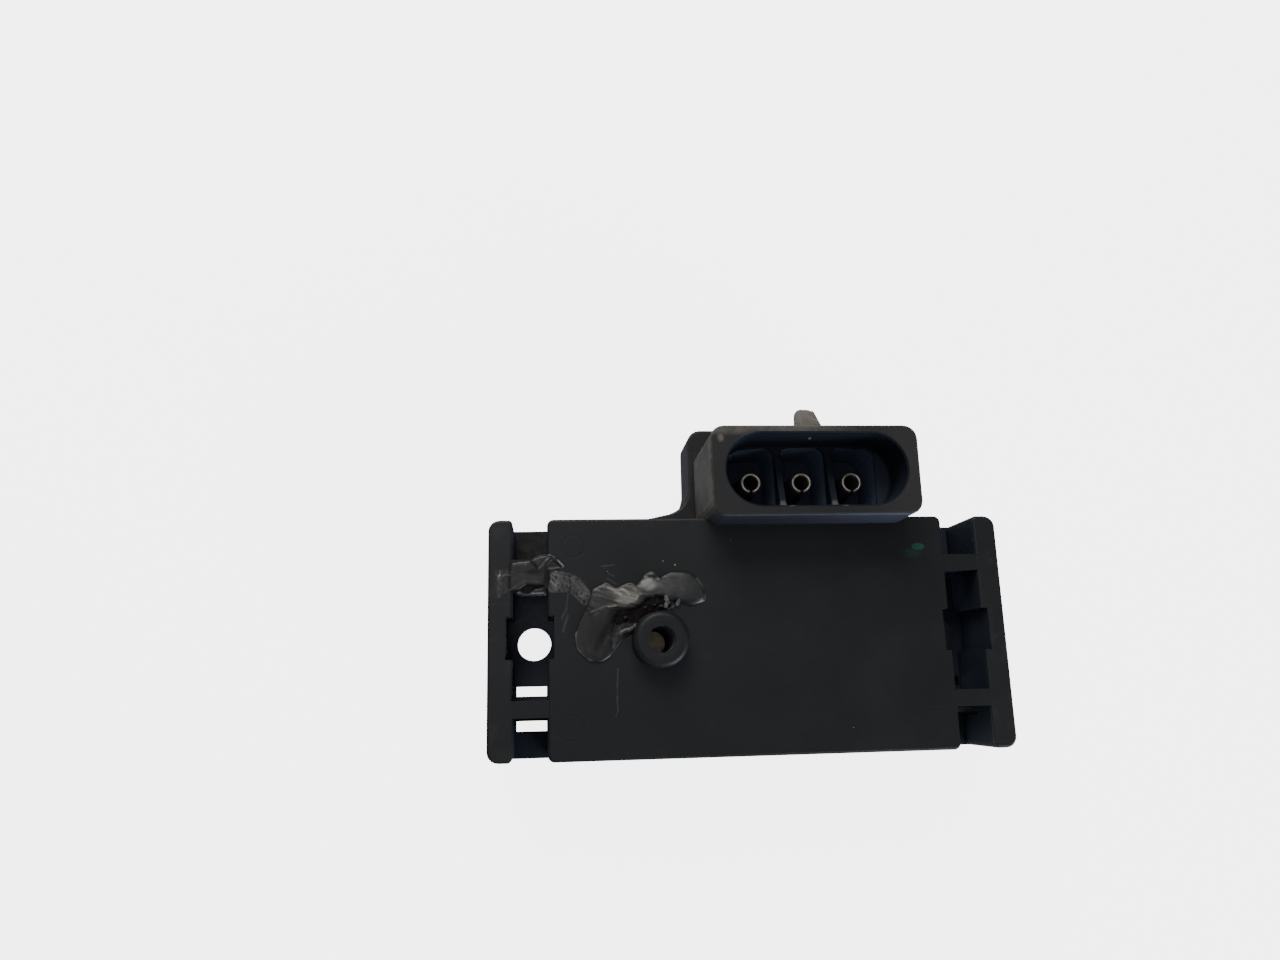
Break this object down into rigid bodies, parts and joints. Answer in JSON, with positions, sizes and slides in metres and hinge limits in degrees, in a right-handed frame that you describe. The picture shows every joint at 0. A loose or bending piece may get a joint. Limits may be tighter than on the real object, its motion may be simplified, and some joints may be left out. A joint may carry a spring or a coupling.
{
  "type": "manifold absolute pressure sensor",
  "caption": "Flat black engine pressure sensor with two slotted mounting ears, a raised plug socket with round terminals, a short hose port and a melted repair across the front.",
  "frame": {"origin": "middle of the overall footprint, on the rear mounting plane", "axes": "+X along the long side, towards the ear away from the port; +Y towards the connector; +Z out of the front face, the way the socket and port open"},
  "size_m": [0.068, 0.0448, 0.024],
  "materials": {
    "housing_plastic": "moulded satin black, dusty",
    "cover_plastic": "moulded matt black",
    "seal_silicone": "satin grey sealant",
    "terminal_metal": "dull tinned bronze",
    "board_ceramic": "smooth off-white",
    "chip_epoxy": "matt black",
    "capacitor_ceramic": "satin tan",
    "resistor_film": "satin black",
    "cell_cup_plastic": "satin tan",
    "cell_glass": "polished",
    "cell_silicon": "polished dark grey",
    "cell_gel": "soft glossy amber",
    "melted_plastic": "melted, glossy and lumpy",
    "ragged_plastic": "torn, rough and pale"
  },
  "bodies": {
    "root": {"housing": "housing_plastic", "rear_cover": "cover_plastic", "cover_seal": "seal_silicone", "terminal_left": "terminal_metal", "terminal_centre": "terminal_metal", "terminal_right": "terminal_metal", "circuit_board": "board_ceramic", "amplifier_chip": "chip_epoxy", "capacitor_1": "capacitor_ceramic", "capacitor_2": "capacitor_ceramic", "capacitor_3": "capacitor_ceramic", "resistor_1": "resistor_film", "resistor_2": "resistor_film", "resistor_3": "resistor_film", "resistor_4": "resistor_film", "cell_cup": "cell_cup_plastic", "cell_pedestal": "cell_glass", "cell_die": "cell_silicon", "cell_gel": "cell_gel", "melt_ear": "melted_plastic", "melt_patch": "ragged_plastic", "melt_ribbon": "melted_plastic"}
  },
  "joints": []
}
